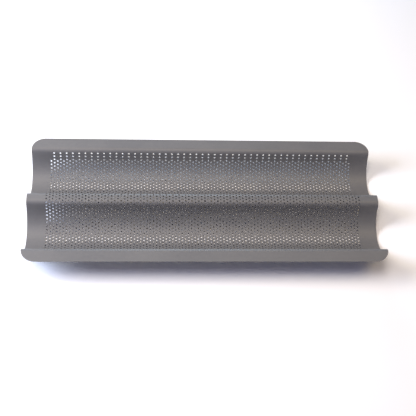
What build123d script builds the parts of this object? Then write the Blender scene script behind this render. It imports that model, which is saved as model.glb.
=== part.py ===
from build123d import *
import math
import os

# A baguette tray with two channels, pressed from one sheet of coated steel.
# Millimetres. X runs along the channels, +Y is the rear and +Z is up.
# The origin is under the tray's centre, at the height of the channels' lowest points.

# Driving dimensions, on the upper surface of the sheet
TRAY_LENGTH = 382.0
SHEET_THICKNESS = 0.8
CREST_HALF_WIDTH = 2.0
BEND_RADIUS = 6.0
WALL_ANGLE = math.radians(69.0)
INNER_WALL_LENGTH = 5.8
OUTER_WALL_LENGTH = 6.65
CHANNEL_RADIUS = 27.8
FLANGE_WIDTH = 12.0
FLANGE_CORNER_RADIUS = 15.0

# Where the sections meet, as distances along the upper surface from the crest's centre.
# Both are in bends: one just before the channel's inner wall and one just after its outer wall.
RIDGE_EDGE = 8.0
FLANGE_EDGE = 90.0

# The cross-section from the crest outwards: each stretch's length and its curvature,
# which is positive where the sheet turns down
BEND = (BEND_RADIUS * WALL_ANGLE, 1 / BEND_RADIUS)
INNER_WALL = (INNER_WALL_LENGTH, 0.0)
OUTER_WALL = (OUTER_WALL_LENGTH, 0.0)
CHANNEL = (2 * CHANNEL_RADIUS * WALL_ANGLE, -1 / CHANNEL_RADIUS)
STRETCHES = [(CREST_HALF_WIDTH, 0.0), BEND, INNER_WALL, CHANNEL, OUTER_WALL, BEND, (FLANGE_WIDTH, 0.0)]

# Distances along the upper surface from the crest's centre to where each stretch starts
STARTS = [sum(length for length, _ in STRETCHES[:count]) for count in range(len(STRETCHES) + 1)]
CHANNEL_MIDDLE = (STARTS[3] + STARTS[4]) / 2
RIM_EDGE = STARTS[7]
STRAIGHT_TOLERANCE = 1e-6


def out_up_and_tilt(distance):
    """Where the upper surface is after a distance from the crest's centre, and how far it tilts down."""
    out = up = tilt = 0.0
    left = distance
    for length, curvature in STRETCHES:
        run = min(left, length)
        end_tilt = tilt + run * curvature
        if curvature:
            out += (math.sin(end_tilt) - math.sin(tilt)) / curvature
            up += (math.cos(end_tilt) - math.cos(tilt)) / curvature
        else:
            out += run * math.cos(tilt)
            up -= run * math.sin(tilt)
        tilt = end_tilt
        left -= run
    return out, up, tilt


# The crest of the ridge is a little lower than the flanges
CREST_HEIGHT = SHEET_THICKNESS - out_up_and_tilt(CHANNEL_MIDDLE)[1]
TRAY_HEIGHT = CREST_HEIGHT + out_up_and_tilt(RIM_EDGE)[1]
TRAY_WIDTH = 2 * out_up_and_tilt(RIM_EDGE)[0]


def sheet_point(distance, depth):
    """The point at a distance along the upper surface, rearwards from the crest, and a depth below it."""
    side = math.copysign(1.0, distance)
    out, up, tilt = out_up_and_tilt(abs(distance))
    y = side * (out - depth * math.sin(tilt))
    z = CREST_HEIGHT + up - depth * math.cos(tilt)
    return Vector(0, y, z)


def surface_edges(start, end, depth):
    """The cross-section's lines and arcs from start to end, a depth below the upper surface."""
    joins = [side * join for join in STARTS[1:] for side in (-1, 1)]
    stops = sorted([start, end] + [join for join in joins if start < join < end])
    edges = []
    for first, last in zip(stops, stops[1:]):
        near = sheet_point(first, depth)
        middle = sheet_point((first + last) / 2, depth)
        far = sheet_point(last, depth)
        if (middle - (near + far) * 0.5).length < STRAIGHT_TOLERANCE:
            edges.append(Line(near, far))
        else:
            edges.append(ThreePointArc(near, middle, far))
    return edges


def formed_strip(edge, other_edge):
    """The sheet between two distances from the crest, over the tray's whole length."""
    start, end = sorted([edge, other_edge])
    sides = [Line(sheet_point(at, 0), sheet_point(at, SHEET_THICKNESS)) for at in (start, end)]
    surfaces = surface_edges(start, end, 0) + surface_edges(start, end, SHEET_THICKNESS)
    return extrude(make_face(surfaces + sides), TRAY_LENGTH / 2, dir=(1, 0, 0), both=True)


def with_rounded_corners(strip):
    """The part of a strip that is inside the tray's outline, whose four corners are rounded."""
    outline = RectangleRounded(TRAY_LENGTH, TRAY_WIDTH, FLANGE_CORNER_RADIUS)
    return strip & extrude(outline, TRAY_HEIGHT)


def ridge():
    return formed_strip(-RIDGE_EDGE, RIDGE_EDGE)


def channel(side):
    return formed_strip(side * RIDGE_EDGE, side * FLANGE_EDGE)


def flange(side):
    return with_rounded_corners(formed_strip(side * FLANGE_EDGE, side * RIM_EDGE))


def tray_sections():
    """The sheet's five formed sections, which meet face to face."""
    return {
        "rear_flange": flange(1),
        "rear_channel": channel(1),
        "middle_ridge": ridge(),
        "front_channel": channel(-1),
        "front_flange": flange(-1),
    }


os.makedirs("parts", exist_ok=True)
for node, solid in tray_sections().items():
    export_step(solid, f"parts/{node}.step")
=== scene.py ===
import math

import bpy
import numpy as np
from mathutils import Matrix, Vector

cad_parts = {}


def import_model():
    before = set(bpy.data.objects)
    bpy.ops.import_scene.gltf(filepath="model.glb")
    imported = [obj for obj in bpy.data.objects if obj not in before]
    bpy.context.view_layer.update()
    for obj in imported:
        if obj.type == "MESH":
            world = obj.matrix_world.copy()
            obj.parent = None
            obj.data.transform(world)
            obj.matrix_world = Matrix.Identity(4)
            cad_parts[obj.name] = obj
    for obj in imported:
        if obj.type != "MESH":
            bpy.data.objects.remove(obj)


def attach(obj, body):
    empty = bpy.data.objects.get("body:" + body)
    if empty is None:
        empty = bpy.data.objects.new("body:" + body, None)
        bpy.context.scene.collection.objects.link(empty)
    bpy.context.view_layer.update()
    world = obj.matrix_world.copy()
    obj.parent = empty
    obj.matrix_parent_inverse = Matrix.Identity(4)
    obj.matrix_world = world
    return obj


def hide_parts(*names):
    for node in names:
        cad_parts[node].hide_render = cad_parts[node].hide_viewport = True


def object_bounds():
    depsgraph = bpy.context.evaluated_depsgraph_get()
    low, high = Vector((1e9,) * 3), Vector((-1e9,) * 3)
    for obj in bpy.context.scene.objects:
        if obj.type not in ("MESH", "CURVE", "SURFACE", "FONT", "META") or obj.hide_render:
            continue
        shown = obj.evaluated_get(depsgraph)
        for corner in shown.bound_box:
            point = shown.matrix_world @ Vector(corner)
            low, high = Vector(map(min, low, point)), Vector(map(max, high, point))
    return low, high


# A pressed, perforated baguette tray with a grey non-stick coating.
# Metres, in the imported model's frame: X along the channels, +Y the rear, +Z up, z = 0 where the tray rests.

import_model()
cad_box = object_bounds()

# The sheet's cross-section, on its upper surface, as the CAD part has it
SHEET = 0.0008
CREST_HALF_WIDTH = 0.002
BEND_RADIUS = 0.006
WALL_ANGLE = math.radians(69.0)
INNER_WALL_LENGTH = 0.0058
OUTER_WALL_LENGTH = 0.00665
CHANNEL_RADIUS = 0.0278
FLANGE_WIDTH = 0.012
FLANGE_CORNER_RADIUS = 0.015
RIDGE_EDGE = 0.008
FLANGE_EDGE = 0.09
EDGE_ROUNDING = 0.0002
SHARP_ANGLE = math.radians(35.0)

# The perforation: holes on a triangular grid, in columns across the tray. The columns are numbered
# from the tray's middle, and the even ones go further up the outer walls than the odd ones.
HOLE_RADIUS = 0.001
HOLE_PITCH = 0.004
COLUMN_PITCH = HOLE_PITCH * math.sqrt(3) / 2
LAST_COLUMN = 49
LAST_HOLE_EVEN = 22 * HOLE_PITCH
LAST_HOLE_ODD = 19.5 * HOLE_PITCH

# How many steps the mesh has along each side of the rectangle round a hole
CELL_STEPS = 4

# The tray's size, from the frame. The crest of the ridge is a little lower than the flanges.
HALF_LENGTH = cad_box[1][0]
FLANGE_HEIGHT = cad_box[1][2]
CREST_HEIGHT = FLANGE_HEIGHT - (OUTER_WALL_LENGTH - INNER_WALL_LENGTH) * math.sin(WALL_ANGLE)

# The cross-section from the crest outwards: each stretch's length and its curvature,
# which is positive where the sheet turns down
BEND = (BEND_RADIUS * WALL_ANGLE, 1 / BEND_RADIUS)
INNER_WALL = (INNER_WALL_LENGTH, 0.0)
OUTER_WALL = (OUTER_WALL_LENGTH, 0.0)
CHANNEL = (2 * CHANNEL_RADIUS * WALL_ANGLE, -1 / CHANNEL_RADIUS)
STRETCHES = [(CREST_HALF_WIDTH, 0.0), BEND, INNER_WALL, CHANNEL, OUTER_WALL, BEND, (FLANGE_WIDTH, 0.0)]
RIM_EDGE = sum(length for length, _ in STRETCHES)


def section(distance):
    """Across-tray position, height and downward tilt of the upper surface, at distances from the crest."""
    distance = np.asarray(distance, float)
    out = np.zeros_like(distance)
    up = np.zeros_like(distance)
    tilt = np.zeros_like(distance)
    left = np.abs(distance)
    for length, curvature in STRETCHES:
        run = np.minimum(left, length)
        end_tilt = tilt + run * curvature
        if curvature:
            out += (np.sin(end_tilt) - np.sin(tilt)) / curvature
            up += (np.cos(end_tilt) - np.cos(tilt)) / curvature
        else:
            out += run * np.cos(tilt)
            up -= run * np.sin(tilt)
        tilt = end_tilt
        left = left - run
    side = np.where(distance < 0, -1.0, 1.0)
    return side * out, CREST_HEIGHT + up, side * tilt


def bent(points):
    """Where flat points (along, distance from the crest, depth) are on the formed sheet."""
    points = np.asarray(points, float)
    across, height, tilt = section(points[:, 1])
    depth = points[:, 2]
    return np.stack([points[:, 0], across - depth * np.sin(tilt), height - depth * np.cos(tilt)], 1)


# ---- The sheet, laid out flat and then formed ----

# Where the flanges' flat parts and rounded corners start, along the surface and across the tray
FLAT_START = RIM_EDGE - FLANGE_WIDTH
HALF_WIDTH = float(section(RIM_EDGE)[0])
FLAT_START_ACROSS = HALF_WIDTH - FLANGE_WIDTH
CORNER_ALONG = HALF_LENGTH - FLANGE_CORNER_RADIUS
CORNER_ACROSS = HALF_WIDTH - FLANGE_CORNER_RADIUS
INNER_CORNER_RADIUS = FLANGE_CORNER_RADIUS - EDGE_ROUNDING

# How finely the mesh divides the sheet, and the distance below which two points are the same
CORNER_STEPS = 18
BEND_STEPS = 8
MARGIN_STEPS = 5
ROUNDING_STEPS = 3
LINE_STEP = HOLE_PITCH / CELL_STEPS
LAST_LINE = round(FLANGE_EDGE / LINE_STEP) - 1
PERFORATED_HALF_LENGTH = (LAST_COLUMN + 0.5) * COLUMN_PITCH
GRID = 1e-7


def flange_distance(across):
    """The distance along the surface at which the flange, or its bend, has gone this far across."""
    if across >= FLAT_START_ACROSS:
        return FLAT_START + across - FLAT_START_ACROSS
    return FLAT_START - BEND_RADIUS * math.asin((FLAT_START_ACROSS - across) / BEND_RADIUS)


def flange_lines():
    """Distances of the mesh's lines over the bend and flange, closest where the corners curve most."""
    turns = [math.pi / 2 * step / CORNER_STEPS for step in range(CORNER_STEPS + 1)]
    lines = [flange_distance(CORNER_ACROSS + INNER_CORNER_RADIUS * math.sin(turn)) for turn in turns]
    for bend_line in np.linspace(FLANGE_EDGE, FLAT_START, BEND_STEPS + 1):
        if min(abs(bend_line - line) for line in lines) > LINE_STEP / 4:
            lines.append(float(bend_line))
    return sorted(lines)


def lines_between(start, end):
    """Distances of all the mesh's lines along the tray, from one edge of a section to the other."""
    near = [line * LINE_STEP for line in range(LAST_LINE + 1)] + [FLANGE_EDGE]
    lines = sorted(set(near + flange_lines() + [-line for line in near + flange_lines()]))
    inside = [line for line in lines if start + GRID < line < end - GRID]
    return [start] + inside + [end]


def end_of_line(distance):
    """How far along the tray the upper surface goes on a line, up to where the edge's rounding starts."""
    across = abs(float(section(distance)[0]))
    past = across - CORNER_ACROSS
    if past <= 0:
        return HALF_LENGTH - EDGE_ROUNDING
    return CORNER_ALONG + math.sqrt(max(INNER_CORNER_RADIUS**2 - past**2, 0.0))


def margin_point(side, step, distance):
    """The flat point at a step from the last column to the tray's end, on a line along the tray."""
    share = step / MARGIN_STEPS
    along = PERFORATED_HALF_LENGTH + share * (end_of_line(distance) - PERFORATED_HALF_LENGTH)
    return side * along, distance


def hole_rows(column):
    """The distances from the crest of a column's holes."""
    last = LAST_HOLE_ODD if column % 2 else LAST_HOLE_EVEN
    return [-last + row * HOLE_PITCH for row in range(round(2 * last / HOLE_PITCH) + 1)]


def square_outline():
    """Points round a square of half-size 1, anticlockwise from its lower right corner."""
    steps = [2 * step / CELL_STEPS - 1 for step in range(CELL_STEPS)]
    right_and_top = [(1, t) for t in steps] + [(-t, 1) for t in steps]
    return right_and_top + [(-x, -y) for x, y in right_and_top]


def hole_cell(along, distance):
    """The faces between one hole and the rectangle of sheet round it."""
    square = square_outline()
    outline = []
    rim = []
    for corner, (right, up) in enumerate(square):
        row = distance + up * HOLE_PITCH / 2
        outline.append((along + right * COLUMN_PITCH / 2, row))
        turn = 2 * math.pi * corner / len(square) - math.pi / 4
        rim.append((along + HOLE_RADIUS * math.cos(turn), distance + HOLE_RADIUS * math.sin(turn)))
    following = [*range(1, len(square)), 0]
    return [[outline[a], outline[b], rim[b], rim[a]] for a, b in enumerate(following)]


def plain_face(along, low, high, cell_below, cell_above):
    """A plain rectangle of one column. A short side that meets a hole's cell has that cell's points."""
    half = COLUMN_PITCH / 2
    inner = [COLUMN_PITCH * (step / CELL_STEPS - 0.5) for step in range(1, CELL_STEPS)]
    bottom = [(along + step, low) for step in inner] if cell_below else []
    top = [(along - step, high) for step in inner] if cell_above else []
    right = [(along + half, low), (along + half, high)]
    return [(along - half, low), *bottom, *right, *top, (along - half, high)]


def column_faces(column, lines):
    """One column's faces: a cell round each hole, and plain rectangles beyond the last ones."""
    along = column * COLUMN_PITCH
    rows = hole_rows(column)
    last_cell = rows[-1] + HOLE_PITCH / 2
    faces = []
    for row in rows:
        for face in hole_cell(along, row):
            middle = sum(point[1] for point in face) / len(face)
            if lines[0] < middle < lines[-1]:
                faces.append(face)
    for low, high in zip(lines, lines[1:]):
        if abs(low + high) / 2 > last_cell:
            cell_below = abs(low - last_cell) < GRID
            cell_above = abs(high + last_cell) < GRID
            faces.append(plain_face(along, low, high, cell_below, cell_above))
    return faces


def margin_faces(side, lines):
    """The plain sheet between the last column and the tray's end."""
    faces = []
    for step in range(MARGIN_STEPS):
        for low, high in zip(lines, lines[1:]):
            corners = [(step, low), (step + 1, low), (step + 1, high), (step, high)]
            faces.append([margin_point(side, at, line) for at, line in corners[::side]])
    return faces


def flat_faces(lines):
    """All faces of a section's flat layout, each a list of (along, distance) points, anticlockwise."""
    faces = margin_faces(-1, lines) + margin_faces(1, lines)
    for column in range(-LAST_COLUMN, LAST_COLUMN + 1):
        faces += column_faces(column, lines)
    return faces


class Sheet:
    """A section of the sheet: its flat points with depths, and the faces between them."""

    def __init__(self):
        self.numbers = {}
        self.points = []
        self.faces = []
        self.normal_signs = []

    def number(self, along, distance, depth):
        key = round(along / GRID), round(distance / GRID), round(depth / GRID)
        if key not in self.numbers:
            self.numbers[key] = len(self.points)
            self.points.append((along, distance, depth))
        return self.numbers[key]

    def add(self, corners, normal_sign=0):
        """Adds a face. Its normals follow the formed surface, up or down, or are Blender's own for 0."""
        self.faces.append([self.number(*corner) for corner in corners])
        self.normal_signs.append(normal_sign)


def outward(along, distance):
    """The direction, in the flat layout, from a point on the outline to the edge beside it."""
    past_along = abs(along) - CORNER_ALONG
    past_across = abs(float(section(distance)[0])) - CORNER_ACROSS
    if past_across <= 0:
        direction = 1.0, 0.0
    elif past_along <= GRID:
        direction = 0.0, 1.0
    else:
        reach = math.hypot(past_along, past_across)
        direction = past_along / reach, past_across / reach
    return math.copysign(direction[0], along), math.copysign(direction[1], distance)


def edge_profile():
    """The rounded edge from the upper to the lower surface, as steps (outwards, depth)."""
    turns = [math.pi / 2 * step / ROUNDING_STEPS for step in range(ROUNDING_STEPS + 1)]
    upper = [(EDGE_ROUNDING * math.sin(turn), EDGE_ROUNDING * (1 - math.cos(turn))) for turn in turns]
    return upper + [(out, SHEET - depth) for out, depth in reversed(upper)]


def rounded_edge(along, distance):
    """The flat points, with depths, round the cut edge beside a point on the outline."""
    right, up = outward(along, distance)
    return [(along + out * right, distance + out * up, depth) for out, depth in edge_profile()]


def on_outline(along, distance):
    """Whether a flat point is where the rounding of the tray's own edge starts."""
    at_rim = abs(distance) > RIM_EDGE - EDGE_ROUNDING - GRID
    return at_rim or abs(along) > end_of_line(distance) - GRID


def open_edges(faces):
    """Each edge that only one flat face uses, in that face's direction."""
    used = {}
    for face in faces:
        for first, second in zip(face, face[1:] + face[:1]):
            ends = [(round(p[0] / GRID), round(p[1] / GRID)) for p in (first, second)]
            if (ends[1], ends[0]) in used:
                del used[ends[1], ends[0]]
            else:
                used[ends[0], ends[1]] = first, second
    return used.values()


def formed_sheet(start, end):
    """A section's closed mesh: both surfaces, the holes' walls, the rounded outline and the seams."""
    faces = flat_faces(lines_between(start, end))
    sheet = Sheet()
    for face in faces:
        sheet.add([(*point, 0.0) for point in face], 1)
        sheet.add([(*point, SHEET) for point in reversed(face)], -1)
    for first, second in open_edges(faces):
        seam = abs(first[1] - second[1]) < GRID and min(abs(first[1] - start), abs(first[1] - end)) < GRID
        rim = abs(first[1]) > RIM_EDGE - EDGE_ROUNDING - GRID
        if on_outline(*first) and on_outline(*second) and (rim or not seam):
            near, far = rounded_edge(*first), rounded_edge(*second)
            for step in range(len(near) - 1):
                sheet.add([near[step], near[step + 1], far[step + 1], far[step]])
        else:
            sheet.add([(*first, 0.0), (*first, SHEET), (*second, SHEET), (*second, 0.0)])
            for point, turned in ((first, 1), (second, -1)):
                if on_outline(*point):
                    sheet.add(rounded_edge(*point)[::turned])
    return sheet


def mesh_piece(name, sheet, material):
    """A Blender object of a formed section, with the exact surface's normals on both of its faces."""
    places = bent(sheet.points)
    mesh = bpy.data.meshes.new(name)
    mesh.from_pydata(places.tolist(), [], sheet.faces)
    mesh.polygons.foreach_set("use_smooth", [True] * len(sheet.faces))
    mesh.set_sharp_from_angle(angle=SHARP_ANGLE)
    tilt = section(np.array(sheet.points)[:, 1])[2]
    up = np.stack([np.zeros_like(tilt), np.sin(tilt), np.cos(tilt)], 1)
    signs = np.repeat(sheet.normal_signs, [len(face) for face in sheet.faces])
    corners = np.concatenate(sheet.faces)
    mesh.normals_split_custom_set((up[corners] * signs[:, None]).tolist())
    mesh.materials.append(material)
    piece = bpy.data.objects.new(name, mesh)
    bpy.context.scene.collection.objects.link(piece)
    return piece


# ---- Materials ----

# The coating's colours, and the sizes of the marks in it
COATING_DARK = (0.112, 0.114, 0.120, 1)
COATING_LIGHT = (0.168, 0.166, 0.162, 1)
CLOUD_SIZE = 0.045
MOTTLE_SIZE = 0.0035
STREAK_WIDTH = 0.0012
STREAK_STRETCH = 40
ORANGE_PEEL_SIZE = 0.0011
GRAIN_SIZE = 0.0003
EDGE_WEAR_WIDTH = 0.0012
EDGE_WEAR_SHADE = 0.7
MIDDLE_SHADE = 0.5
MIDDLE_ROUGHNESS = 0.48
GRAIN_HEIGHT = 0.3
BUMP_STRENGTH = 0.6
BUMP_HEIGHT = 0.00005

# The inputs and output of a colour Mix node, whose names it shares with its other kinds
MIX_SHARE, MIX_FIRST, MIX_SECOND, MIX_RESULT = 0, 6, 7, 2


def new_material(name):
    """A material and its node tree and surface shader."""
    material = bpy.data.materials.new(name)
    material.use_nodes = True
    tree = material.node_tree
    return material, tree, tree.nodes["Principled BSDF"]


def add_node(tree, kind, inputs, **settings):
    """A new node. Each of its inputs is set to a value, or linked if it is given another node's output."""
    node = tree.nodes.new(kind)
    for name, value in settings.items():
        setattr(node, name, value)
    for name, value in inputs.items():
        if isinstance(value, bpy.types.NodeSocket):
            tree.links.new(value, node.inputs[name])
        else:
            node.inputs[name].default_value = value
    return node


def noise(tree, place, size, detail, stretch=1.0):
    """Noise between 0 and 1 whose blotches are about the given size, and stretched along the tray."""
    scaled = add_node(tree, "ShaderNodeMapping", {"Vector": place, "Scale": (1 / stretch, 1, 1)})
    inputs = {"Vector": scaled.outputs[0], "Scale": 1 / size, "Detail": detail}
    return add_node(tree, "ShaderNodeTexNoise", inputs).outputs[0]


def scaled_and_added(tree, value, scale, added):
    inputs = {0: value, 1: scale, 2: added}
    return add_node(tree, "ShaderNodeMath", inputs, operation="MULTIPLY_ADD").outputs[0]


def weighted_sum(tree, start, terms):
    """The start value plus each noise's distance from 0.5, times its weight."""
    total = start - sum(weight for _, weight in terms) / 2
    for value, weight in terms:
        total = scaled_and_added(tree, value, weight, total)
    return total


def colour_mix(tree, share, first, second):
    """The first colour where the share is 0 and the second where it is 1."""
    inputs = {MIX_SHARE: share, MIX_FIRST: first, MIX_SECOND: second}
    return add_node(tree, "ShaderNodeMix", inputs, data_type="RGBA").outputs[MIX_RESULT]


def vector_step(tree, operation, *inputs):
    """A vector operation's result, which is a number for a length."""
    node = add_node(tree, "ShaderNodeVectorMath", dict(enumerate(inputs)), operation=operation)
    return node.outputs["Value" if operation == "LENGTH" else "Vector"]


def near_outline(tree, place):
    """1 at the tray's outline, falling to 0 at the edge wear's width inside it."""
    distance = vector_step(tree, "ABSOLUTE", place)
    past_corner = vector_step(tree, "SUBTRACT", distance, (CORNER_ALONG, CORNER_ACROSS, 1))
    clamped = vector_step(tree, "MAXIMUM", past_corner, (0, 0, 0))
    inputs = {
        "Value": vector_step(tree, "LENGTH", clamped),
        "From Min": FLANGE_CORNER_RADIUS - EDGE_WEAR_WIDTH,
        "From Max": FLANGE_CORNER_RADIUS,
    }
    return add_node(tree, "ShaderNodeMapRange", inputs, interpolation_type="SMOOTHSTEP").outputs[0]


def nonstick_coating():
    """A satin grey coating: cloudy, finely grained, rubbed along the tray and worn at its edges."""
    material, tree, shader = new_material("grey_nonstick_coating")
    place = add_node(tree, "ShaderNodeTexCoord", {}).outputs["Object"]
    clouds = noise(tree, place, CLOUD_SIZE, 2)
    mottling = noise(tree, place, MOTTLE_SIZE, 3)
    grain = noise(tree, place, GRAIN_SIZE, 2)
    streaks = noise(tree, place, STREAK_WIDTH, 3, stretch=STREAK_STRETCH)
    orange_peel = noise(tree, place, ORANGE_PEEL_SIZE, 1)

    shade_weights = [(clouds, 0.6), (mottling, 0.4), (grain, 0.8), (streaks, 0.35)]
    shade = weighted_sum(tree, MIDDLE_SHADE, shade_weights)
    wear_inputs = {0: near_outline(tree, place), 1: mottling}
    wear = add_node(tree, "ShaderNodeMath", wear_inputs, operation="MULTIPLY").outputs[0]
    worn_shade = scaled_and_added(tree, wear, EDGE_WEAR_SHADE, shade)
    colour = colour_mix(tree, worn_shade, COATING_DARK, COATING_LIGHT)
    tree.links.new(colour, shader.inputs["Base Color"])

    roughness_weights = [(mottling, 0.12), (streaks, 0.12), (clouds, 0.08)]
    roughness = weighted_sum(tree, MIDDLE_ROUGHNESS, roughness_weights)
    tree.links.new(roughness, shader.inputs["Roughness"])

    height = scaled_and_added(tree, grain, GRAIN_HEIGHT, orange_peel)
    bump_inputs = {"Height": height, "Strength": BUMP_STRENGTH, "Distance": BUMP_HEIGHT}
    bump = add_node(tree, "ShaderNodeBump", bump_inputs)
    tree.links.new(bump.outputs[0], shader.inputs["Normal"])
    return material


coating = nonstick_coating()

SECTIONS = {
    "rear_flange": (FLANGE_EDGE, RIM_EDGE - EDGE_ROUNDING),
    "rear_channel": (RIDGE_EDGE, FLANGE_EDGE),
    "middle_ridge": (-RIDGE_EDGE, RIDGE_EDGE),
    "front_channel": (-FLANGE_EDGE, -RIDGE_EDGE),
    "front_flange": (EDGE_ROUNDING - RIM_EDGE, -FLANGE_EDGE),
}
for node, (start, end) in SECTIONS.items():
    piece = mesh_piece(node + "_sheet", formed_sheet(start, end), coating)
    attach(piece, "root")
    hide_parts(node)


# ---- Stage, light and camera ----

FLOOR_REACH = 6
FLOOR_COLOUR = (0.97, 0.985, 1.0, 1)
FLOOR_ROUGHNESS = 0.7
SOFTBOX_DISTANCE = 0.9

# The camera's place is from the middle of the ridge's top
CAMERA_OFFSET = Vector((-0.06413, -0.53106, 0.71668))
CAMERA_PITCH = math.radians(53.937)
CAMERA_YAW = math.radians(-7.371)
CAMERA_ROLL = math.radians(6.242)
LENS = 71.391
SENSOR_WIDTH = 36.0


def floor():
    signs = [(-1, -1), (1, -1), (1, 1), (-1, 1)]
    corners = [(x * FLOOR_REACH, y * FLOOR_REACH, 0) for x, y in signs]
    mesh = bpy.data.meshes.new("floor")
    mesh.from_pydata(corners, [], [(0, 1, 2, 3)])
    material, _, shader = new_material("pale_floor")
    shader.inputs["Base Color"].default_value = FLOOR_COLOUR
    shader.inputs["Roughness"].default_value = FLOOR_ROUGHNESS
    mesh.materials.append(material)
    piece = bpy.data.objects.new("floor", mesh)
    bpy.context.scene.collection.objects.link(piece)


def softbox(name, turn, rise, size, power, colour):
    """A round soft light aimed at the tray.

    It is turned from +X towards the rear, and raised from the floor, by degrees.
    """
    data = bpy.data.lights.new(name, "AREA")
    data.shape = "DISK"
    data.size = size
    data.energy = power
    data.color = colour
    turn, rise = math.radians(turn), math.radians(rise)
    direction = Vector((math.cos(turn) * math.cos(rise), math.sin(turn) * math.cos(rise), math.sin(rise)))
    light = bpy.data.objects.new(name, data)
    light.location = SOFTBOX_DISTANCE * direction
    light.rotation_euler = direction.to_track_quat("Z", "Y").to_euler()
    bpy.context.scene.collection.objects.link(light)


def world(colour, strength):
    new_world = bpy.data.worlds.new("studio")
    new_world.use_nodes = True
    background = new_world.node_tree.nodes["Background"]
    background.inputs["Color"].default_value = (*colour, 1)
    background.inputs["Strength"].default_value = strength
    bpy.context.scene.world = new_world


def camera():
    data = bpy.data.cameras.new("camera")
    data.lens = LENS
    data.sensor_width = SENSOR_WIDTH
    data.clip_start = 0.01
    eye = bpy.data.objects.new("camera", data)
    pitch, yaw = CAMERA_PITCH, CAMERA_YAW
    level = Vector((-math.sin(yaw), math.cos(yaw), 0))
    forward = level * math.cos(pitch) - Vector((0, 0, math.sin(pitch)))
    right = Vector((math.cos(yaw), math.sin(yaw), 0))
    up = right.cross(forward)
    turned_right = math.cos(CAMERA_ROLL) * right + math.sin(CAMERA_ROLL) * up
    turned_up = math.cos(CAMERA_ROLL) * up - math.sin(CAMERA_ROLL) * right
    eye.matrix_world = Matrix((
        (turned_right.x, turned_up.x, -forward.x, CAMERA_OFFSET.x),
        (turned_right.y, turned_up.y, -forward.y, CAMERA_OFFSET.y),
        (turned_right.z, turned_up.z, -forward.z, CAMERA_OFFSET.z + CREST_HEIGHT),
        (0, 0, 0, 1),
    ))
    bpy.context.scene.collection.objects.link(eye)
    bpy.context.scene.camera = eye


floor()
world((0.58, 0.58, 1.0), 0.18)
softbox("left", 180, 30, 0.45, 9.6, (0.73, 0.80, 1.0))
softbox("rear_left", 160, 45, 0.4, 3.6, (1.0, 0.88, 0.66))
softbox("overhead", 0, 90, 0.5, 2.6, (1.0, 0.86, 0.70))
softbox("upper_front", 240, 70, 0.4, 1.1, (1.0, 0.88, 0.88))
softbox("right", 0, 50, 0.4, 1.45, (1.0, 0.79, 0.44))
softbox("rear", 90, 14, 0.4, 3.1, (0.66, 0.85, 1.0))
camera()
bpy.context.scene.view_settings.view_transform = "Standard"
